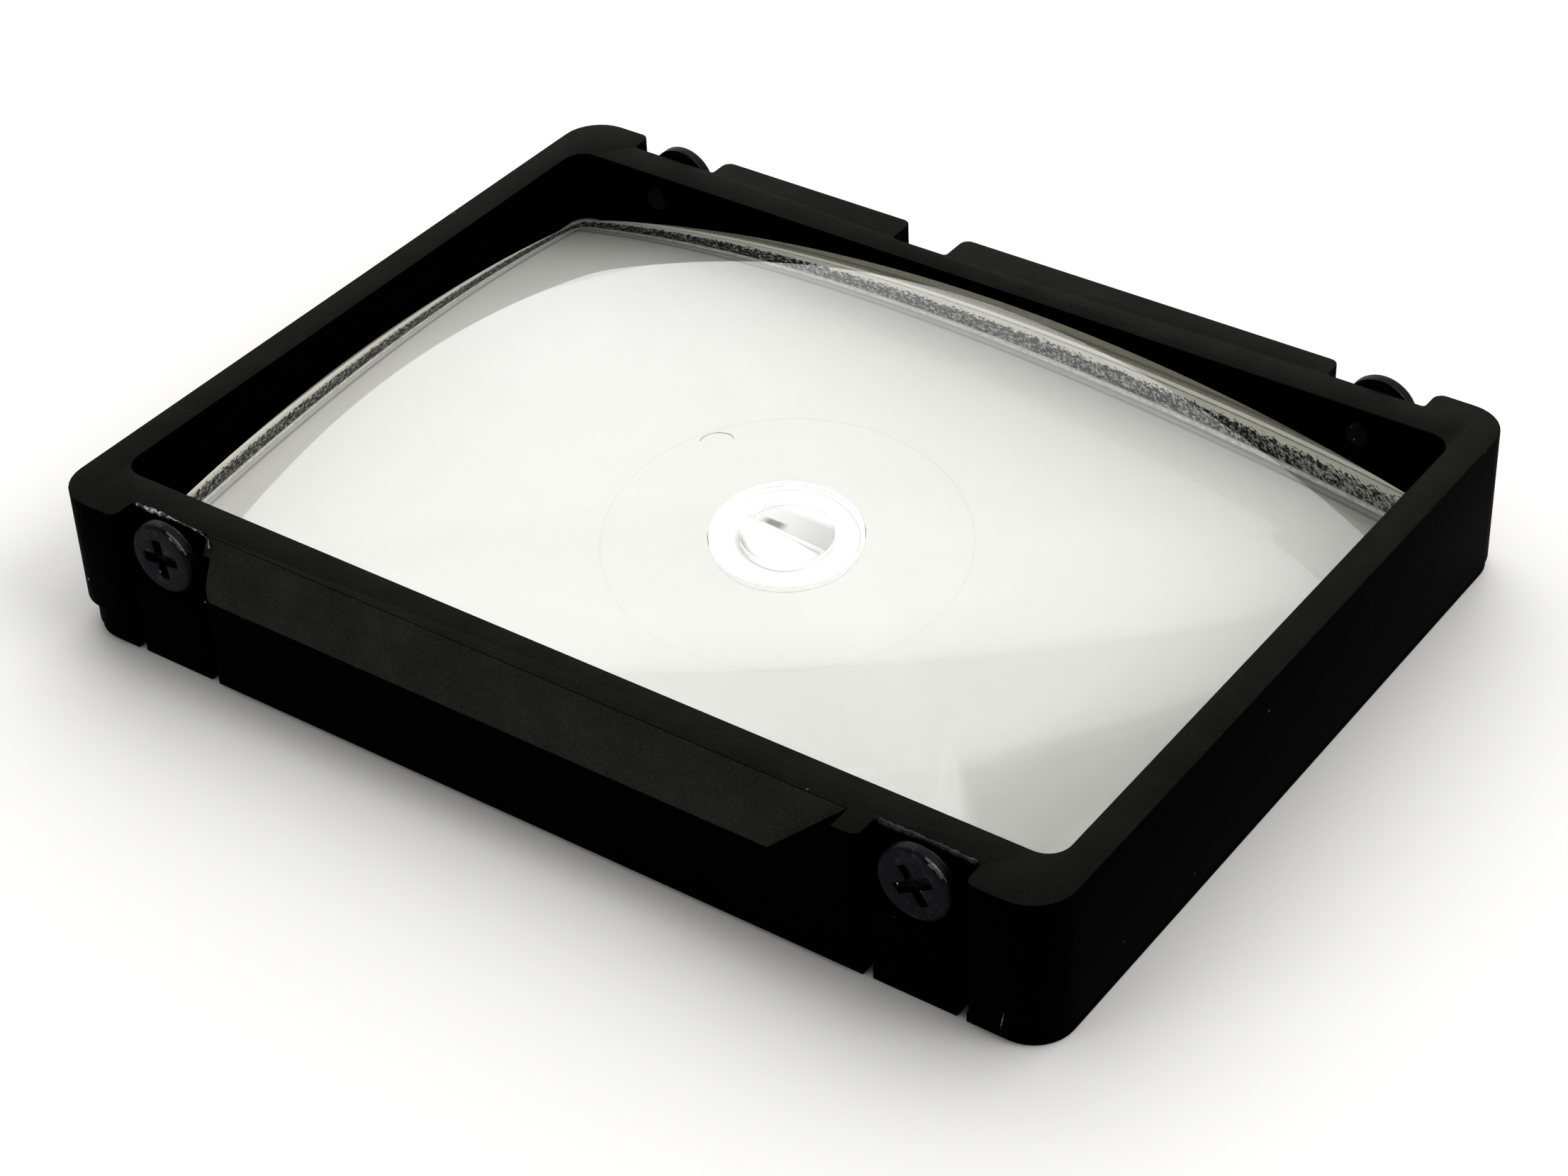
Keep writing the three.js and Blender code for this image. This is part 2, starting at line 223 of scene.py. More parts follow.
def welded_mesh(node, name):
    """A copy of a node's mesh with its flat faces whole again."""
    bm = bmesh.new()
    bm.from_mesh(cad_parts[node].data)
    bmesh.ops.remove_doubles(bm, verts=bm.verts, dist=1e-6)
    bmesh.ops.dissolve_limit(
        bm,
        angle_limit=math.radians(FLAT_ANGLE),
        verts=bm.verts,
        edges=bm.edges,
        delimit=set(),
    )
    mesh = bpy.data.meshes.new(name)
    bm.to_mesh(mesh)
    bm.free()
    return mesh


def apply_modifiers(obj):
    """Replaces obj's mesh with the result of its modifiers."""
    graph = bpy.context.evaluated_depsgraph_get()
    result = bpy.data.meshes.new_from_object(obj.evaluated_get(graph))
    result.name = obj.name
    obj.modifiers.clear()
    obj.data = result


def softened_copy(node, name, width, materials, angle=ROUNDED_ANGLE):
    """A node's shape with rounded edges. The rounded strips take the last material."""
    obj = link(bpy.data.objects.new(name, welded_mesh(node, name)))
    for material in materials:
        obj.data.materials.append(material)
    bevel = obj.modifiers.new("edges", "BEVEL")
    bevel.width = width * MM
    bevel.segments = EDGE_SEGMENTS
    bevel.limit_method = "ANGLE"
    bevel.angle_limit = math.radians(angle)
    bevel.use_clamp_overlap = True
    bevel.miter_outer = "MITER_ARC"
    bevel.material = len(materials) - 1
    bevel.harden_normals = False
    obj.data.shade_smooth()
    bpy.context.view_layer.update()
    apply_modifiers(obj)
    smooth_by_angle(obj.data, CRISP_ANGLE)
    return obj


def smooth_by_angle(mesh, degrees):
    """Smooth shading, with edges sharper than the angle kept crisp."""
    mesh.shade_smooth()
    bm = bmesh.new()
    bm.from_mesh(mesh)
    limit = math.radians(degrees)
    for edge in bm.edges:
        edge.smooth = not (edge.is_manifold and edge.calc_face_angle(0) > limit)
    bm.to_mesh(mesh)
    bm.free()


# ---------- materials ----------


class Shader:
    """Builds a material's nodes."""

    def __init__(self, name):
        self.material = bpy.data.materials.new(name)
        self.material.use_nodes = True
        self.nodes = self.material.node_tree.nodes
        self.links = self.material.node_tree.links
        self.nodes.clear()
        self.output = self.nodes.new("ShaderNodeOutputMaterial")
        self.place = self.nodes.new("ShaderNodeTexCoord").outputs["Object"]

    def add(self, kind, inputs=None, **settings):
        node = self.nodes.new(kind)
        for key, value in settings.items():
            setattr(node, key, value)
        for key, value in (inputs or {}).items():
            self.feed(node.inputs[key], value)
        return node

    def feed(self, socket, value):
        if isinstance(value, bpy.types.NodeSocket):
            self.links.new(value, socket)
        else:
            socket.default_value = value

    def math(self, operation, a, b=0.0):
        node = self.add("ShaderNodeMath", operation=operation)
        self.feed(node.inputs[0], a)
        self.feed(node.inputs[1], b)
        return node.outputs[0]

    def noise(self, grain_mm, detail=3.0, roughness=0.6):
        """Noise whose grains are about grain_mm across."""
        scale = 1 / (grain_mm * MM)
        inputs = {
            "Vector": self.place,
            "Scale": scale,
            "Detail": detail,
            "Roughness": roughness,
        }
        return self.add("ShaderNodeTexNoise", inputs).outputs["Fac"]

    def ramp(self, value, low, high, to_low=0.0, to_high=1.0):
        """value mapped from low..high to to_low..to_high, clamped."""
        inputs = {
            "Value": value,
            "From Min": low,
            "From Max": high,
            "To Min": to_low,
            "To Max": to_high,
        }
        return self.add("ShaderNodeMapRange", inputs).outputs["Result"]

    def blend(self, factor, first, second):
        """Mixes two colours."""
        node = self.add("ShaderNodeMix", data_type="RGBA")
        self.feed(node.inputs["Factor"], factor)
        self.feed(node.inputs[6], (*first, 1) if isinstance(first, tuple) else first)
        self.feed(node.inputs[7], (*second, 1) if isinstance(second, tuple) else second)
        return node.outputs[2]

    def bump(self, height, depth_mm, strength=1.0):
        inputs = {"Height": height, "Distance": depth_mm * MM, "Strength": strength}
        return self.add("ShaderNodeBump", inputs).outputs["Normal"]

    def coordinate(self, axis):
        """Place along one axis, in millimetres."""
        parts = self.add("ShaderNodeSeparateXYZ", {"Vector": self.place})
        return self.math("DIVIDE", parts.outputs[axis], MM)

    def principled(self, **inputs):
        sockets = {key.replace("_", " "): value for key, value in inputs.items()}
        return self.add("ShaderNodeBsdfPrincipled", sockets)

    def done(self, shader):
        self.links.new(shader, self.output.inputs["Surface"])
        return self.material


def specks(s, cell_mm, share, size):
    """Sparse round dust specks: 1 inside a speck and 0 elsewhere."""
    inputs = {"Vector": s.place, "Scale": 1 / (cell_mm * MM)}
    cells = s.add("ShaderNodeTexVoronoi", inputs, feature="F1")
    near = s.ramp(cells.outputs["Distance"], size, size * 0.6)
    pick = s.add("ShaderNodeSeparateColor", {"Color": cells.outputs["Color"]})
    chosen = s.math("LESS_THAN", pick.outputs[0], share)
    return s.math("MULTIPLY", near, chosen)


def black_paint(name, dark, pale, gloss, wear):
    """Matte black paint with fine grain and dust. A larger wear shows more rubbed paint, and 0 none."""
    s = Shader(name)
    grain = s.noise(0.09, detail=4.0)
    cloud = s.noise(1.9, detail=3.0)
    shade = s.math("ADD", s.math("MULTIPLY", grain, 0.6), s.math("MULTIPLY", cloud, 0.4))
    paint = s.blend(s.ramp(shade, 0.35, 0.65), dark, pale)
    dust = specks(s, 1.3, 0.16, 0.045)
    fine_dust = specks(s, 0.55, 0.10, 0.05)
    dusty = s.math("MAXIMUM", s.math("MULTIPLY", dust, 0.5), s.math("MULTIPLY", fine_dust, 0.25))
    colour = s.blend(dusty, paint, (0.30, 0.31, 0.33))
    rough = s.ramp(grain, 0.3, 0.7, 0.38, 0.48)
    if wear > 0:
        patchy = s.noise(0.5, detail=5.0, roughness=0.7)
        bare = s.ramp(patchy, 0.74 - wear, 0.8 - wear)
        colour = s.blend(bare, colour, (0.075, 0.076, 0.08))
        rough = s.math("SUBTRACT", rough, s.math("MULTIPLY", bare, 0.15))
    height = s.math("ADD", grain, s.math("MULTIPLY", s.noise(0.32, detail=2.0), 0.8))
    shader = s.principled(
        Base_Color=colour,
        Roughness=rough,
        IOR=gloss,
        Normal=s.bump(height, 0.012, 0.75),
    )
    return s.done(shader.outputs[0])


def paint_finishes():
    """The paint on the sides, on top, on the bevel and along rounded edges, in the PAINT numbers' order.
    The top and bevel copies are painted lighter, as painted light.
    """
    side = black_paint("black_paint", (0.0008, 0.0010, 0.0014), (0.0022, 0.0028, 0.0036), 1.09, 0.0)
    # Painted light: the top and bevel copies are the same black paint, painted lighter where light falls on
    # them.
    painted_light_top = black_paint("black_paint_painted_light_top", (0.0195, 0.0195, 0.0186), (0.036, 0.036, 0.0342), 1.14, 0.0)
    bevel = black_paint("black_paint_painted_light_bevel", (0.042, 0.042, 0.039), (0.074, 0.074, 0.069), 1.15, 0.0)
    edge = black_paint("black_paint_edge", (0.003, 0.003, 0.003), (0.008, 0.008, 0.008), 1.15, 0.12)
    return [side, painted_light_top, bevel, edge]


def paint_light_by_facing(obj):
    """Top faces take a paint painted lighter than the sides, and the bevel a lighter one still, as painted
    light where the light falls on them.
    """
    for face in obj.data.polygons:
        if face.material_index == PAINT_EDGE:
            continue
        if face.normal.z > 0.95:
            face.material_index = PAINT_LIT_TOP
        elif 0.3 < face.normal.z < 0.6 and face.normal.y < -0.8:
            face.material_index = PAINT_LIT_BEVEL
        else:
            face.material_index = PAINT_SIDE


def burr_metal_and_highlight(name, dull, bare):
    """Metal where the paint has thinned or flaked off a milled edge, its pale colour partly a painted
    highlight.
    """
    s = Shader(name)
    grain = s.noise(0.22, detail=4.0, roughness=0.7)
    colour = s.blend(s.ramp(grain, 0.46, 0.62), dull, bare)
    shader = s.principled(
        Base_Color=colour,
        Metallic=0.2,
        Roughness=0.5,
        Normal=s.bump(grain, 0.02),
    )
    return s.done(shader.outputs[0])


def grey_lint():
    """A fine grey fibre."""
    s = Shader("grey_lint")
    grain = s.noise(0.1)
    colour = s.blend(grain, (0.42, 0.42, 0.40), (0.60, 0.60, 0.58))
    shader = s.principled(Base_Color=colour, Roughness=0.8)
    return s.done(shader.outputs[0])


def screw_steel(name, dark, pale, rubbed):
    """Blackened steel with fine grain and small rubbed places."""
    s = Shader(name)
    grain = s.noise(0.07, detail=4.0)
    patch = s.noise(0.45, detail=3.0)
    blacked = s.blend(s.ramp(grain, 0.35, 0.65), dark, pale)
    colour = s.blend(s.ramp(patch, 0.56, 0.68, 0.0, 0.55), blacked, rubbed)
    shader = s.principled(
        Base_Color=colour,
        Metallic=0.55,
        Roughness=s.ramp(grain, 0.3, 0.7, 0.36, 0.52),
        Normal=s.bump(grain, 0.008, 0.7),
    )
    return s.done(shader.outputs[0])


def lens_glass(name, mirror):
    """Polished glass that light shines straight through. mirror tints what it reflects."""
    s = Shader(name)
    smear = s.noise(6.0, detail=3.0)
    glass = s.principled(
        Base_Color=(0.985, 0.99, 0.98, 1),
        Roughness=s.ramp(smear, 0.45, 0.7, 0.0, 0.012),
        IOR=CLEAR_INDEX,
        Specular_Tint=(mirror, mirror, mirror, 1),
        Transmission_Weight=1.0,
    )
    return s.done(lets_light_through(s, glass))


def lets_light_through(s, glass):
    """Shadow and diffuse rays go straight through, so the lamps light what lies under the glass."""
    path = s.add("ShaderNodeLightPath")
    clear = s.add("ShaderNodeBsdfTransparent")
    shader = glass.outputs[0]
    for ray in ("Is Diffuse Ray", "Is Shadow Ray"):
        mix = s.add("ShaderNodeMixShader")
        s.feed(mix.inputs[0], path.outputs[ray])
        s.links.new(shader, mix.inputs[1])
        s.links.new(clear.outputs[0], mix.inputs[2])
        shader = mix.outputs[0]
    return shader


def ground_edge():
    """The lens's finely ground side, a dull olive grey, with a pale foot that gathers light."""
    s = Shader("ground_edge")
    grain = s.noise(0.09, detail=3.0)
    height = s.coordinate(2)
    line = thin_line(s, height, GROUND_LINE_Z, GROUND_LINE_WIDTH)
    colour = s.blend(s.ramp(grain, 0.35, 0.65), (0.34, 0.34, 0.285), (0.48, 0.48, 0.415))
    colour = s.blend(s.math("MULTIPLY", line, 0.55), colour, (0.18, 0.18, 0.15))
    # Painted light: the foot is painted pale for light gathered in the glass.
    colour = s.blend(s.ramp(height, LIT_FOOT_TOP_Z, LIT_FOOT_FULL_Z), colour, (0.92, 0.92, 0.86))
    shader = s.principled(Base_Color=colour, Roughness=0.6, Normal=s.bump(grain, 0.01, 0.5))
    return s.done(shader.outputs[0])


def bright_edge(name, dull, pale):
    """A pale edge, for where light gathered inside the clear piece comes out."""
    s = Shader(name)
    grain = s.noise(0.16, detail=3.0)
    colour = s.blend(s.ramp(grain, 0.35, 0.65), dull, pale)
    shader = s.principled(Base_Color=colour, Roughness=0.5, Normal=s.bump(grain, 0.01, 0.5))
    return s.done(shader.outputs[0])


def spacer_black():
    """Rough glossy black like crushed grit in lacquer, with its glints painted as pale specks, under a pale
    top.
    """
    s = Shader("spacer_black")
    grit = s.noise(0.13, detail=4.0, roughness=0.75)
    end = s.ramp(s.coordinate(0), GLINT_END_START_X, GLINT_END_FULL_X, 0.0, 0.09)
    # Painted glints: pale specks on the grit, more of them towards the right end.
    glint = s.ramp(s.math("ADD", grit, end), 0.48, 0.60)
    colour = s.blend(glint, (0.012, 0.012, 0.011), (0.62, 0.62, 0.59))
    uneven = s.math("MULTIPLY", s.math("SUBTRACT", grit, 0.5), PALE_RAGGEDNESS)
    ragged = s.math("ADD", s.coordinate(2), uneven)
    pale = s.ramp(ragged, PALE_TOP_Z - PALE_BORDER, PALE_TOP_Z + PALE_BORDER)
    colour = s.blend(pale, colour, (0.86, 0.86, 0.80))
    shader = s.principled(
        Base_Color=colour,
        Roughness=0.35,
        Normal=s.bump(grit, 0.04),
    )
    return s.done(shader.outputs[0])


def clear_acrylic():
    """The polished faces of the matte screen and of its focusing aids."""
    s = Shader("clear_acrylic")
    haze = s.noise(3.0, detail=4.0)
    glass = s.principled(
        Base_Color=(0.99, 0.99, 0.985, 1),
        Roughness=s.ramp(haze, 0.4, 0.7, 0.01, 0.05),
        IOR=CLEAR_INDEX,
        Specular_Tint=(0, 0, 0, 1),
        Transmission_Weight=1.0,
    )
    return s.done(lets_light_through(s, glass))


def distance_from_axis(s):
    """Distance from the optical axis, in millimetres."""
    flat = s.add("ShaderNodeVectorMath", {0: s.place, 1: (1 / MM, 1 / MM, 0.0)}, operation="MULTIPLY")
    return s.add("ShaderNodeVectorMath", {0: flat.outputs[0]}, operation="LENGTH").outputs["Value"]


def thin_line(s, measure, at_mm, width_mm):
    """1 where a measure, such as a radius or a height, is at_mm, and 0 away from it."""
    off = s.math("ABSOLUTE", s.math("SUBTRACT", measure, at_mm))
    return s.ramp(off, width_mm, width_mm * 0.3)


def matte_field():
    """Ground white field with painted shade, darker away from the back left, with fine grain and a faint
    ring.
    """
    s = Shader("matte_field")
    radius = distance_from_axis(s)
    grain = s.noise(0.05, detail=3.0)
    cloud = s.noise(5.0, detail=3.0)
    # Painted light and shade: the field's tone falls off across it, as the light falls on it.
    direction = (SHADE_FADE_DIRECTION[0] / MM, SHADE_FADE_DIRECTION[1] / MM, 0.0)
    slant = s.add("ShaderNodeVectorMath", {0: s.place, 1: direction}, operation="DOT_PRODUCT")
    painted_shade = s.ramp(slant.outputs["Value"], SHADE_FADE_START, SHADE_FADE_END)
    colour = s.blend(painted_shade, (0.880, 0.875, 0.852), (0.640, 0.636, 0.612))
    colour = s.blend(s.ramp(cloud, 0.4, 0.75, 0.0, 0.10), colour, (0.66, 0.66, 0.63))
    colour = s.blend(s.ramp(grain, 0.4, 0.7, 0.0, 0.04), colour, (0.6, 0.6, 0.58))
    ring = s.math("MULTIPLY", thin_line(s, radius, RING_R, RING_LINE_WIDTH), 0.10)
    colour = s.blend(ring, colour, (0.42, 0.42, 0.40))
    # Painted shade: a thin dark line just inside the field's border.
    colour = s.blend(s.math("MULTIPLY", painted_shade_border_line(s), 0.4), colour, (0.22, 0.22, 0.21))
    shader = s.principled(Base_Color=colour, Roughness=0.85, Normal=s.bump(grain, 0.01, 0.4))
    return s.done(shader.outputs[0])


def painted_shade_border_line(s):
    """1 on a thin line of painted shade just inside the edge of the field and 0 elsewhere."""
    lines = []
    for axis, half in ((0, FIELD_HALF_X), (1, FIELD_HALF_Y)):
        off = s.math("ABSOLUTE", s.coordinate(axis))
        lines.append(thin_line(s, off, half - SHADE_LINE_INSET, SHADE_LINE_WIDTH))
    return s.math("MAXIMUM", *lines)


def prism_collar():
    """White moulded prisms with a thin grey arc along the back."""
    s = Shader("prism_collar")
    grain = s.noise(0.12, detail=2.0)
    behind = s.ramp(s.coordinate(1), COLLAR_ARC_START_Y, COLLAR_ARC_FULL_Y, 0.0, 0.35)
    circle = thin_line(s, distance_from_axis(s), COLLAR_ARC_R, RING_LINE_WIDTH)
    arc = s.math("MULTIPLY", circle, behind)
    colour = s.blend(s.ramp(grain, 0.35, 0.8, 0.0, 0.08), (0.99, 0.99, 0.985), (0.5, 0.5, 0.49))
    colour = s.blend(arc, colour, (0.35, 0.35, 0.34))
    shader = s.principled(Base_Color=colour, Roughness=0.5, Normal=s.bump(grain, 0.01, 0.3))
    return s.done(shader.outputs[0])


def prism_back():
    """The back wedge: grey to the right, white at its rim, with a dark sliver by the split."""
    s = Shader("prism_back")
    x, y = s.coordinate(0), s.coordinate(1)
    grain = s.noise(0.12, detail=2.0)
    grey = s.ramp(x, WEDGE_GREY_START_X, WEDGE_GREY_FULL_X)
    colour = s.blend(grey, (0.80, 0.80, 0.79), (0.60, 0.60, 0.585))
    white = s.ramp(y, WEDGE_WHITE_START_Y, WEDGE_WHITE_FULL_Y)
    colour = s.blend(white, colour, (0.99, 0.99, 0.985))
    colour = s.blend(s.ramp(grain, 0.35, 0.8, 0.0, 0.08), colour, (0.5, 0.5, 0.49))
    from_end = s.math("ABSOLUTE", s.math("SUBTRACT", x, SLIVER_X))
    from_side = s.math("ABSOLUTE", s.math("SUBTRACT", y, SLIVER_Y))
    ends = s.ramp(from_end, SLIVER_HALF_X, SLIVER_HALF_X * 0.4)
    sides = s.ramp(from_side, SLIVER_HALF_Y, SLIVER_HALF_Y * 0.4)
    colour = s.blend(s.math("MULTIPLY", ends, sides), colour, (0.22, 0.22, 0.21))
    shader = s.principled(Base_Color=colour, Roughness=0.5, Normal=s.bump(grain, 0.01, 0.3))
    return s.done(shader.outputs[0])


def prism_front():
    """The front wedge: white, with a grey rim along the front."""
    s = Shader("prism_front")
    grain = s.noise(0.12, detail=2.0)
    rim = s.ramp(distance_from_axis(s), RIM_START_R, RIM_FULL_R)
    front = s.ramp(s.coordinate(1), RIM_START_Y, RIM_FULL_Y)
    colour = s.blend(s.ramp(grain, 0.35, 0.8, 0.0, 0.08), (0.99, 0.99, 0.985), (0.5, 0.5, 0.49))
    colour = s.blend(s.math("MULTIPLY", rim, front), colour, (0.40, 0.40, 0.385))
    shader = s.principled(Base_Color=colour, Roughness=0.5, Normal=s.bump(grain, 0.01, 0.3))
    return s.done(shader.outputs[0])


def plain_floor():
    s = Shader("floor")
    shader = s.principled(Base_Color=(0.90, 0.895, 0.885, 1), Roughness=0.7)
    return s.done(shader.outputs[0])


# ---------- pieces ----------


def outline_point(angle, half_x, half_y, corner):
    """Where a ray from the middle at this angle meets a rounded rectangle."""
    ray = Vector((math.cos(angle), math.sin(angle)))
    ax, ay = abs(ray.x), abs(ray.y)
    reach = min(half_x / ax if ax > 1e-9 else 1e9, half_y / ay if ay > 1e-9 else 1e9)
    hit = Vector((ax, ay)) * reach
    middle = Vector((half_x - corner, half_y - corner))
    if hit.x > middle.x and hit.y > middle.y:
        direction = Vector((ax, ay))
        along = direction.dot(middle)
        off = middle.length_squared - corner**2
        hit = direction * (along + math.sqrt(max(along**2 - off, 0.0)))
    return Vector((math.copysign(hit.x, ray.x), math.copysign(hit.y, ray.y)))


def ring_angles():
    """Evenly spaced angles round the lens."""
    step = 2 * math.pi / DOME_SEGMENTS
    return [step * k for k in range(DOME_SEGMENTS)]


def add_ring(bm, half_x, half_y, corner, height):
    """A ring of points round a rounded rectangle. height is a number or a function of radius."""
    ring = []
    for angle in ring_angles():
        flat = outline_point(angle, half_x, half_y, corner)
        z = height(flat.length) if callable(height) else height
        ring.append(bm.verts.new(mm(flat.x, flat.y, z)))
    return ring


def bridge_rings(bm, lower, upper, material):
    """Quads from one ring to the next one up."""
    count = len(lower)
    for k in range(count):
        after = (k + 1) % count
        face = bm.faces.new((lower[k], lower[after], upper[after], upper[k]))
        face.material_index = material


def close_ring(bm, ring, height, material, upward):
    """A fan from a ring to a point on the axis."""
    tip = bm.verts.new(mm(0, 0, height))
    for k in range(len(ring)):
        pair = (ring[k], ring[(k + 1) % len(ring)])
        face = bm.faces.new((*pair, tip) if upward else (*reversed(pair), tip))
        face.material_index = material


def dome_height(radius):
    """Height of the dome in millimetres, this far from the axis."""
    return DOME_TOP_Z - DOME_R + math.sqrt(DOME_R**2 - radius**2)


def condenser_lens():
    """The lens as one smooth solid: dome, ground sides with a fine chamfer, flange, flat base."""
    low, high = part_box("condenser_lens")
    base_z = low.z / MM
    flange_x, flange_y = high.x / MM, high.y / MM
    half_x, half_y, corner = LENS_HALF_X, LENS_HALF_Y, LENS_CORNER_R
    flange_top = base_z + LENS_FLANGE_T
    chamfer = LENS_CHAMFER

    bm = bmesh.new()
    rings = [
        (add_ring(bm, flange_x - chamfer, flange_y - chamfer, corner, base_z), LENS_FLANGE),
        (add_ring(bm, flange_x, flange_y, corner, base_z + chamfer), LENS_FLANGE),
        (add_ring(bm, flange_x, flange_y, corner, flange_top), LENS_FLANGE),
        (add_ring(bm, half_x, half_y, corner, flange_top), LENS_FLANGE),
        (add_ring(bm, half_x, half_y, corner, lambda r: dome_height(r) - LENS_CHAMFER_DROP), LENS_SIDE),
        (add_ring(bm, half_x - chamfer, half_y - chamfer, corner, dome_height), LENS_SIDE),
    ]
    for k in range(1, DOME_RINGS):
        share = 1 - k / DOME_RINGS
        size_x, size_y = (half_x - chamfer) * share, (half_y - chamfer) * share
        rings.append((add_ring(bm, size_x, size_y, corner * share, dome_height), LENS_DOME))
    for (lower, _), (upper, material) in zip(rings, rings[1:]):
        bridge_rings(bm, lower, upper, material)
    close_ring(bm, rings[0][0], base_z, LENS_BASE, upward=False)
    close_ring(bm, rings[-1][0], DOME_TOP_Z, LENS_DOME, upward=True)
    mesh = bpy.data.meshes.new("condenser_lens_glass")
    bm.to_mesh(mesh)
    bm.free()
    mesh.materials.append(lens_glass("lens_glass", 1.0))
    mesh.materials.append(ground_edge())
    mesh.materials.append(bright_edge("lens_flange", (0.62, 0.62, 0.57), (0.85, 0.85, 0.80)))
    mesh.materials.append(lens_glass("lens_base", 0.0))
    smooth_by_angle(mesh, LENS_CRISP_ANGLE)
    obj = link(bpy.data.objects.new("condenser_lens_glass", mesh))
    return finish_piece(obj, "lens_glass", "condenser_lens")


def screen_plate():
    """The matte screen: clear above, ground white below, with a bright step round the field."""
    step = bright_edge("field_step", (0.66, 0.66, 0.63), (0.90, 0.90, 0.86))
    materials = [clear_acrylic(), matte_field(), step]
    obj = softened_copy("screen_plate", "matte_screen", OPTIC_EDGE, materials)
    for face in obj.data.polygons:
        centre = face.center / MM
        inside_x = abs(centre.x) < FIELD_HALF_X + FIELD_MARGIN
        inside = inside_x and abs(centre.y) < FIELD_HALF_Y + FIELD_MARGIN
        beside_spot = centre.xy.length < COLLAR_HALF + SPOT_MARGIN
        upright = abs(face.normal.z) < 0.8
        face.material_index = SCREEN_CLEAR
        if face.normal.z < -0.9 or (upright and not inside):
            face.material_index = SCREEN_MATTE
        elif upright and inside and not beside_spot:
            face.material_index = SCREEN_STEP
    return finish_piece(obj, "matte_acrylic", "screen_plate")


def painted_pieces():
    """Frame, retaining plate and spacer, with softened edges."""
    finishes = paint_finishes()
    body = softened_copy("frame_body", "frame_casting", FRAME_EDGE, finishes)
    paint_light_by_facing(body)
    finish_piece(body, "black_paint", "frame_body")
    plain = [finishes[PAINT_SIDE], finishes[PAINT_EDGE]]
    plate = softened_copy("retaining_plate", "retaining_plate_sheet", PLATE_EDGE, plain)
    finish_piece(plate, "black_paint", "retaining_plate")
    band = [spacer_black(), bright_edge("spacer_top", (0.62, 0.62, 0.57), (0.85, 0.85, 0.80))]
    spacer = softened_copy("spacer_frame", "spacer_band", OPTIC_EDGE, band)
    for face in spacer.data.polygons:
        face.material_index = 1 if face.normal.z > 0.9 else 0
    finish_piece(spacer, "black_paint", "spacer_frame")


def screws():
    """Screws with dark steel heads, with a painted highlight on the upper right of their edge, and black
    shanks.
    """
    steel = screw_steel("screw_steel", (0.012, 0.012, 0.0145), (0.029, 0.029, 0.034), (0.07, 0.07, 0.078))
    # The rim steel is the head steel painted paler, as a painted highlight.
    rim = screw_steel("screw_rim_painted_highlight", (0.10, 0.10, 0.10), (0.20, 0.20, 0.19), (0.34, 0.34, 0.33))
    blacked = bpy.data.materials["black_paint"]
    for station in ("front_left", "front_right", "back_left", "back_right"):
        node = f"screw_{station}"
        obj = softened_copy(node, f"{node}_head", SCREW_EDGE, [steel], SCREW_ROUNDED_ANGLE)
        obj.data.materials.append(rim)
        obj.data.materials.append(blacked)
        for face in obj.data.polygons:
            shank = abs(face.center.y) / MM < SHANK_SHOWS_Y
            # Painted highlight: faces of the head's edge turned up and to the right take the paler rim
            # steel.
            rubbed = face.normal.z > 0.45 and face.normal.x > 0.3 and abs(face.normal.y) > 0.15
            face.material_index = SCREW_STEEL
            if shank:
                face.material_index = SCREW_BLACKED
            elif rubbed:
                face.material_index = SCREW_RIM_HIGHLIGHT
        finish_piece(obj, "black_screw", node)


def evenly_along(points, step):
    """Points a step apart along a line of straight stretches."""
    spots = []
    for start, end in zip(points, points[1:]):
        start, end = Vector(start), Vector(end)
        count = max(1, round((end - start).length / step))
        spots += [start.lerp(end, k / count) for k in range(count)]
    return spots + [Vector(points[-1])]


def ragged_ridge(bm, points, thin, thick, draw):
    """A closed thread along a line, whose radius wanders between thin and thick."""
    spots = evenly_along(points, BURR_STEP)
    rings = []
    for k, spot in enumerate(spots):
        ahead = (spots[min(k + 1, len(spots) - 1)] - spots[max(k - 1, 0)]).normalized()
        side = ahead.orthogonal().normalized()
        above = ahead.cross(side)
        size = draw.uniform(thin, thick)
        ring = []
        for corner in range(BURR_SIDES):
            turn = 2 * math.pi * corner / BURR_SIDES
            place = spot + (side * math.cos(turn) + above * math.sin(turn)) * size
            ring.append(bm.verts.new(place * MM))
        rings.append(ring)
    for lower, upper in zip(rings, rings[1:]):
        bridge_rings(bm, lower, upper, 0)
    bm.faces.new(reversed(rings[0]))
    bm.faces.new(rings[-1])


def speck(bm, centre, size, draw):
    """An irregular flake lying flat against an upright face, square to Y."""
    made = bmesh.ops.create_icosphere(bm, subdivisions=1, radius=1.0)
    for vert in made["verts"]:
        vert.co *= draw.uniform(0.75, 1.25)
        flat = Vector((vert.co.x * size, vert.co.y * FLAKE_T, vert.co.z * size))
        vert.co = (Vector(centre) + flat) * MM


def ragged_piece(name, material, slot, fill):
    """A piece whose mesh is made by fill, with random draws seeded by its name."""
    bm = bmesh.new()
    fill(bm, random.Random(name))
    mesh = bpy.data.meshes.new(name)
    bm.to_mesh(mesh)
    bm.free()
    mesh.materials.append(material)
    mesh.shade_smooth()
    finish_piece(link(bpy.data.objects.new(name, mesh)), slot)


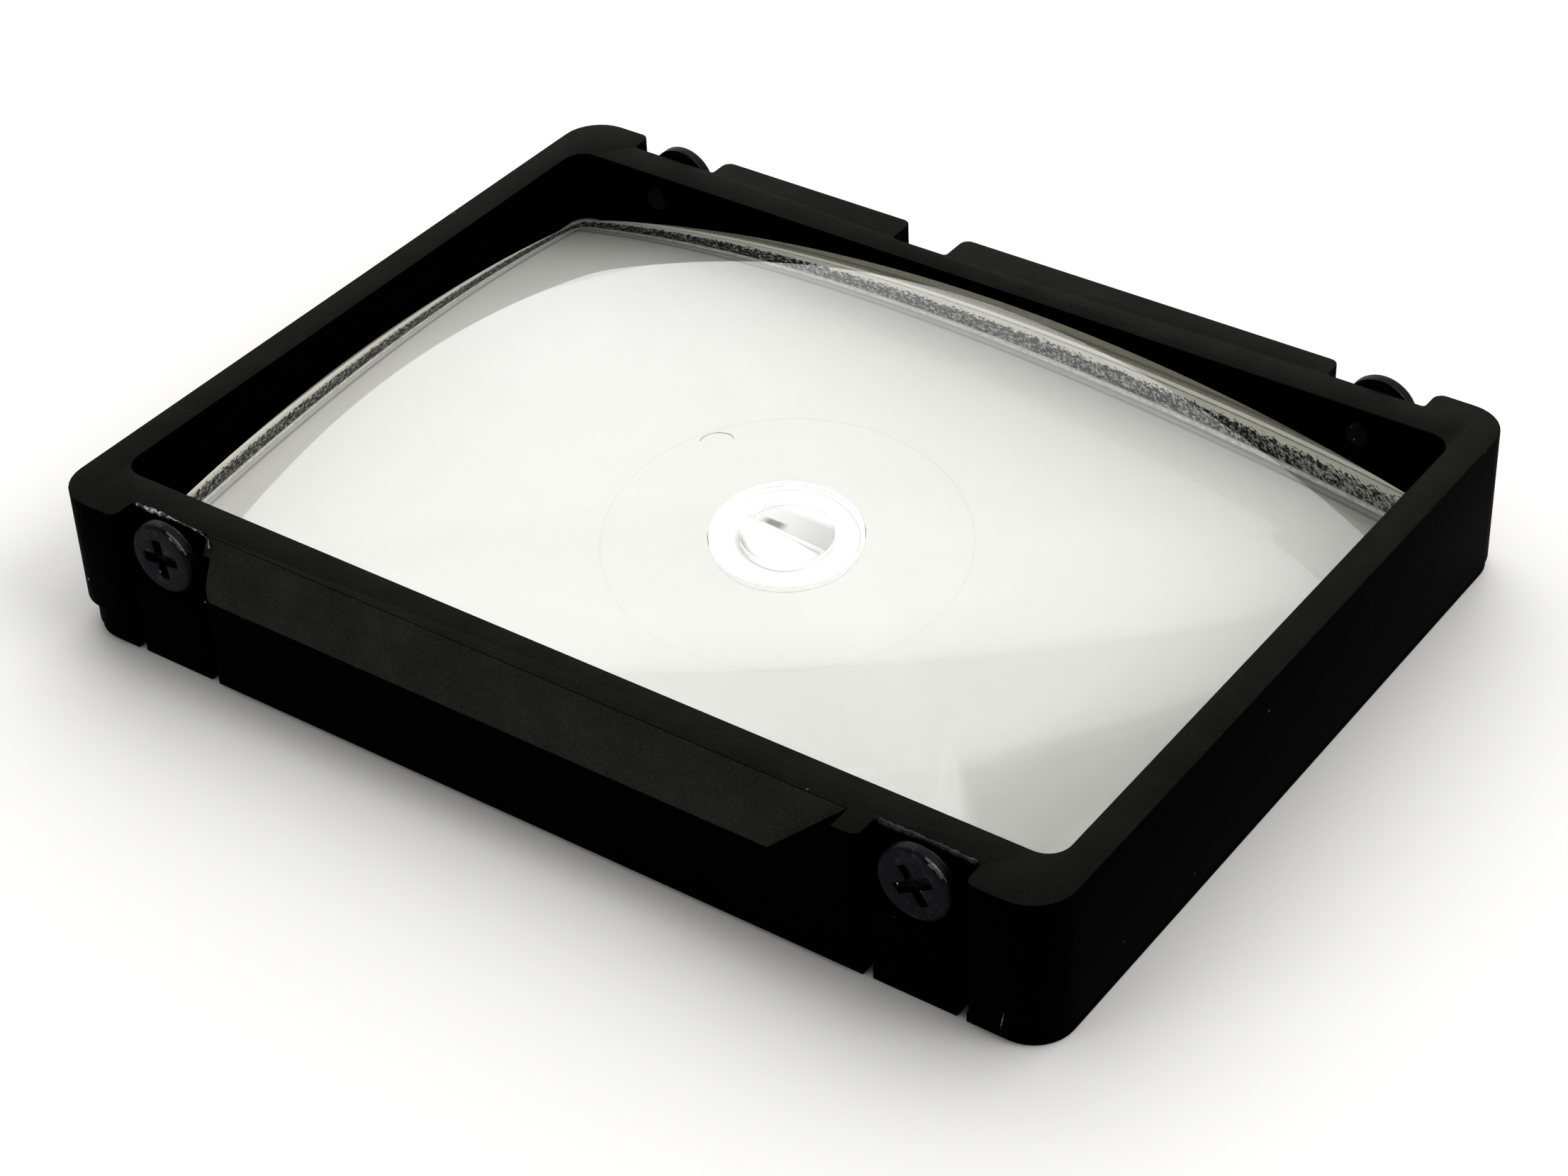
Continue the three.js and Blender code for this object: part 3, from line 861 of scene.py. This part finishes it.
def worn_and_highlit_edges():
    """Burrs on the recess edges, pale partly as painted highlights, a painted highlight on the corner's
    edge, and flakes on the frame and the screws, two of them painted highlights.
    """
    metal_and_highlight = burr_metal_and_highlight("burr_metal_and_highlight", (0.06, 0.06, 0.06), (0.55, 0.55, 0.56))
    thin_paint_and_highlight = burr_metal_and_highlight("burr_thin_paint_and_highlight", (0.025, 0.025, 0.025), (0.075, 0.076, 0.078))

    def left_burr_and_highlight(bm, draw):
        ragged_ridge(bm, LEFT_BURR_AND_HIGHLIGHT[:3], 0.025, 0.11, draw)
        ragged_ridge(bm, LEFT_BURR_AND_HIGHLIGHT[2:], 0.02, 0.05, draw)

    def right_burr_and_highlight(bm, draw):
        ragged_ridge(bm, RIGHT_BURR_AND_HIGHLIGHT, 0.06, 0.12, draw)

    def marks(bm, draw):
        # Painted highlight on the corner's edge.
        ragged_ridge(bm, CORNER_EDGE_HIGHLIGHT, 0.02, 0.04, draw)
        for centre, size in FLAKES:
            speck(bm, centre, size, draw)

    ragged_piece("burr_front_left", metal_and_highlight, "black_paint", left_burr_and_highlight)
    ragged_piece("burr_front_right", thin_paint_and_highlight, "black_paint", right_burr_and_highlight)
    ragged_piece("flakes", metal_and_highlight, "black_paint", marks)


def lint():
    """A curled fibre on the dome."""

    def fibre(bm, draw):
        points = []
        for k in range(LINT_STEPS + 1):
            turn = math.pi * k / LINT_STEPS
            along = -math.cos(turn) * LINT_HALF_LENGTH
            bulge = math.sin(turn) * LINT_BULGE
            x = LINT_X + along * LINT_COS - bulge * LINT_SIN
            y = LINT_Y + along * LINT_SIN + bulge * LINT_COS
            points.append((x, y, dome_height(math.hypot(x, y))))
        ragged_ridge(bm, points, 0.012, 0.02, draw)

    ragged_piece("lint_fibre", grey_lint(), "matte_acrylic", fibre)


def focusing_aid(node, name, pattern):
    """A clear moulded aid whose shading lies on its lower face."""
    obj = softened_copy(node, name, AID_EDGE, [clear_acrylic(), pattern])
    for face in obj.data.polygons:
        face.material_index = 1 if face.normal.z < -0.9 else 0
    return finish_piece(obj, "prism_acrylic", node)


def focusing_aids():
    focusing_aid("microprism_collar", "microprism_ring", prism_collar())
    focusing_aid("split_wedge_back", "split_prism_back", prism_back())
    focusing_aid("split_wedge_front", "split_prism_front", prism_front())


# ---------- stage ----------


def camera():
    """The photograph's viewpoint."""
    data = bpy.data.cameras.new("camera")
    data.lens = CAMERA_LENS
    data.clip_start = 0.001
    data.clip_end = 50
    obj = link(bpy.data.objects.new("camera", data))
    azimuth = math.radians(CAMERA_AZIMUTH)
    elevation = math.radians(CAMERA_ELEVATION)
    roll = math.radians(CAMERA_ROLL)
    back = Vector((
        math.sin(azimuth) * math.cos(elevation),
        -math.cos(azimuth) * math.cos(elevation),
        math.sin(elevation),
    ))
    level = Vector((0, 0, 1)).cross(back).normalized()
    above = back.cross(level)
    right = level * math.cos(roll) + above * math.sin(roll)
    up = above * math.cos(roll) - level * math.sin(roll)
    turn = Matrix((right, up, back)).transposed().to_4x4()
    place = mm(*CAMERA_TARGET) + back * CAMERA_DISTANCE * MM
    obj.matrix_world = Matrix.Translation(place) @ turn
    bpy.context.scene.camera = obj


def floor():
    """A wide pale floor, a hair below the object."""
    size, low = FLOOR_HALF, -FLOOR_DROP
    mesh = bpy.data.meshes.new("floor")
    corners = [(-size, -size, low), (size, -size, low), (size, size, low), (-size, size, low)]
    mesh.from_pydata(corners, [], [(0, 1, 2, 3)])
    mesh.materials.append(plain_floor())
    obj = link(bpy.data.objects.new("floor", mesh))


def area_light(name, azimuth, elevation, distance, size, power):
    """A round soft light facing the object, in degrees, metres and watts. Azimuth 0 is +Y and 90 is -X."""
    data = bpy.data.lights.new(name, "AREA")
    data.shape = "DISK"
    data.size = size
    data.energy = power
    obj = link(bpy.data.objects.new(name, data))
    a, e = math.radians(azimuth), math.radians(elevation)
    direction = Vector((-math.sin(a) * math.cos(e), math.cos(a) * math.cos(e), math.sin(e)))
    obj.location = direction * distance
    obj.rotation_mode = "QUATERNION"
    obj.rotation_quaternion = direction.to_track_quat("Z", "Y")


def lights():
    """A room light that grows towards one side, and four lamps."""
    world = bpy.data.worlds.new("studio")
    world.use_nodes = True
    background = world.node_tree.nodes["Background"]
    background.inputs["Color"].default_value = (1, 1, 1, 1)
    nodes, links = world.node_tree.nodes, world.node_tree.links
    place = nodes.new("ShaderNodeTexCoord").outputs["Generated"]
    towards = nodes.new("ShaderNodeVectorMath")
    towards.operation = "DOT_PRODUCT"
    towards.inputs[1].default_value = BRIGHT_SIDE
    links.new(place, towards.inputs[0])
    strength = nodes.new("ShaderNodeMath")
    strength.operation = "ADD"
    strength.inputs[1].default_value = SKY_STRENGTH
    links.new(towards.outputs["Value"], strength.inputs[0])
    links.new(strength.outputs[0], background.inputs["Strength"])
    bpy.context.scene.world = world
    area_light("main_light", -50, 57, 0.6, 0.48, 0.24)
    area_light("right_light", -80, 45, 0.6, 0.3, 0.42)
    area_light("back_disc", 35, 38, 0.45, 0.54, 0.20)
    area_light("front_card", 151, 14, 0.40, 0.22, 0.15)


camera()
floor()
lights()
painted_pieces()
screws()
condenser_lens()
screen_plate()
focusing_aids()
worn_and_highlit_edges()
lint()

bpy.context.scene.view_settings.view_transform = "Standard"
bpy.context.scene.view_settings.look = "Very High Contrast"

bpy.context.view_layer.update()
